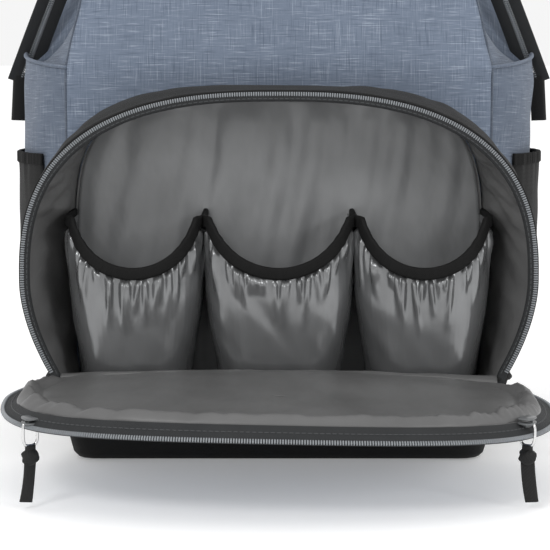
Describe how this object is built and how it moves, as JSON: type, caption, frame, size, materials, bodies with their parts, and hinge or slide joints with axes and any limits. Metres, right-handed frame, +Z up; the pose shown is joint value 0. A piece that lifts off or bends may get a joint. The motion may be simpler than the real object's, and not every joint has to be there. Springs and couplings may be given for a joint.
{
  "type": "diaper backpack",
  "caption": "Wide-mouth diaper backpack whose front flap folds down on a hinge line to show gathered bottle pockets; framed mouth, carry handles and shoulder straps.",
  "frame": {"origin": "middle of the flat underside of the base", "axes": "+X is right seen from the front, +Y points to the shoulder straps, +Z is up"},
  "size_m": [0.37, 0.445, 0.5022],
  "materials": {
    "heather_fabric": "slub weave",
    "black_fabric": "plain weave",
    "webbing": "ribbed webbing",
    "binding": "elastic binding",
    "satin_lining": "satin",
    "main_lining": "satin",
    "foil_lining": "coated foil",
    "foam": "matte",
    "board": "matte",
    "zip_tape": "twill tape",
    "zip_teeth": "satin",
    "nickel": "polished",
    "frame_wire": "drawn wire",
    "buckle_plastic": "satin"
  },
  "bodies": {
    "bag": {"base_tub": "black_fabric", "base_board": "board", "compartment_floor_pad": "foam", "front_panel": "heather_fabric", "front_insulation": "foam", "compartment_back_lining": "satin_lining", "compartment_gusset": "black_fabric", "compartment_lining": "satin_lining", "compartment_zip_tape": "zip_tape", "compartment_zip_teeth": "zip_teeth", "bottle_pocket_left": "foil_lining", "bottle_pocket_middle": "foil_lining", "bottle_pocket_right": "foil_lining", "pocket_binding_left": "binding", "pocket_binding_middle": "binding", "pocket_binding_right": "binding", "side_panels": "heather_fabric", "back_panel": "black_fabric", "main_lining": "main_lining", "side_pocket_left": "black_fabric", "side_pocket_right": "black_fabric", "side_pocket_bindings": "binding", "mouth_gusset_left": "heather_fabric", "mouth_gusset_right": "heather_fabric", "zip_tail_left": "zip_tape", "zip_tail_right": "zip_tape", "zip_end_tabs": "webbing", "strap_anchors": "webbing", "hang_loop": "webbing", "flap_hinge_strip": "satin_lining"},
    "flap": {"flap_shell": "heather_fabric", "flap_foam": "foam", "flap_lining": "satin_lining", "flap_zip_tape": "zip_tape", "flap_zip_teeth": "zip_teeth"},
    "mouth_front": {"mouth_front_panel": "heather_fabric", "front_frame_wire": "frame_wire", "mouth_front_zip_tape": "zip_tape", "mouth_front_zip_teeth": "zip_teeth"},
    "mouth_back": {"mouth_back_panel": "heather_fabric", "back_frame_wire": "frame_wire", "mouth_back_zip_tape": "zip_tape", "mouth_back_zip_teeth": "zip_teeth"},
    "main_zip_slider": {"main_slider": "nickel"},
    "main_zip_pull": {"main_pull": "webbing"},
    "slider_left": {"flap_slider_left": "nickel"},
    "slider_right": {"flap_slider_right": "nickel"},
    "pull_left": {"pull_bail_left": "nickel", "pull_strap_left": "webbing"},
    "pull_right": {"pull_bail_right": "nickel", "pull_strap_right": "webbing"},
    "handle_front": {"carry_handle_front": "webbing"},
    "handle_back": {"carry_handle_back": "webbing"},
    "strap_left": {"shoulder_pad_left": "black_fabric", "strap_webbing_left": "webbing", "ladder_lock_left": "buckle_plastic"},
    "strap_right": {"shoulder_pad_right": "black_fabric", "strap_webbing_right": "webbing", "ladder_lock_right": "buckle_plastic"}
  },
  "joints": [
    {"name": "flap_hinge", "type": "hinge", "parent": "bag", "child": "flap", "pos_m": [0, -0.108, 0.056], "axis": [-1, 0, 0], "range_deg": [-12, 90]},
    {"name": "mouth_front_hinge", "type": "hinge", "parent": "bag", "child": "mouth_front", "pos_m": [0, -0.0265, 0.25], "axis": [1, 0, 0], "range_deg": [0, 30]},
    {"name": "mouth_back_hinge", "type": "hinge", "parent": "bag", "child": "mouth_back", "pos_m": [0, 0.1065, 0.337], "axis": [-1, 0, 0], "range_deg": [0, 45]},
    {"name": "main_slider_travel", "type": "slide", "parent": "mouth_front", "child": "main_zip_slider", "axis": [1, 0, 0], "range_m": [0, 0.18]},
    {"name": "main_pull_pivot", "type": "hinge", "parent": "main_zip_slider", "child": "main_zip_pull", "pos_m": [-0.09, 0.04, 0.4207], "axis": [0, -1, 0], "range_deg": [0, 150]},
    {"name": "slider_right_travel", "type": "hinge", "parent": "flap", "child": "slider_right", "pos_m": [0.068, -0.1835, 0.05], "axis": [0, 0, 1], "range_deg": [-37, 27]},
    {"name": "slider_left_travel", "type": "hinge", "parent": "flap", "child": "slider_left", "pos_m": [-0.068, -0.1835, 0.05], "axis": [0, 0, -1], "range_deg": [-37, 27]},
    {"name": "pull_right_swing", "type": "hinge", "parent": "slider_right", "child": "pull_right", "pos_m": [0.14211, -0.23734, 0.0508], "axis": [0.809, -0.5878, 0], "range_deg": [-80, 80]},
    {"name": "pull_left_swing", "type": "hinge", "parent": "slider_left", "child": "pull_left", "pos_m": [-0.14211, -0.23734, 0.0508], "axis": [0.809, 0.5878, 0], "range_deg": [-80, 80]},
    {"name": "handle_front_fold", "type": "hinge", "parent": "mouth_front", "child": "handle_front", "pos_m": [0, 0.01271, 0.40334], "axis": [1, 0, 0], "range_deg": [0, 100]},
    {"name": "handle_back_fold", "type": "hinge", "parent": "mouth_back", "child": "handle_back", "pos_m": [0, 0.06945, 0.4087], "axis": [-1, 0, 0], "range_deg": [0, 100]},
    {"name": "strap_right_swing", "type": "hinge", "parent": "bag", "child": "strap_right", "pos_m": [0.045, 0.115, 0.322], "axis": [0.2761, 0, -0.9611], "range_deg": [-14, 14]},
    {"name": "strap_left_swing", "type": "hinge", "parent": "bag", "child": "strap_left", "pos_m": [-0.045, 0.115, 0.322], "axis": [-0.2761, 0, -0.9611], "range_deg": [-14, 14]}
  ]
}
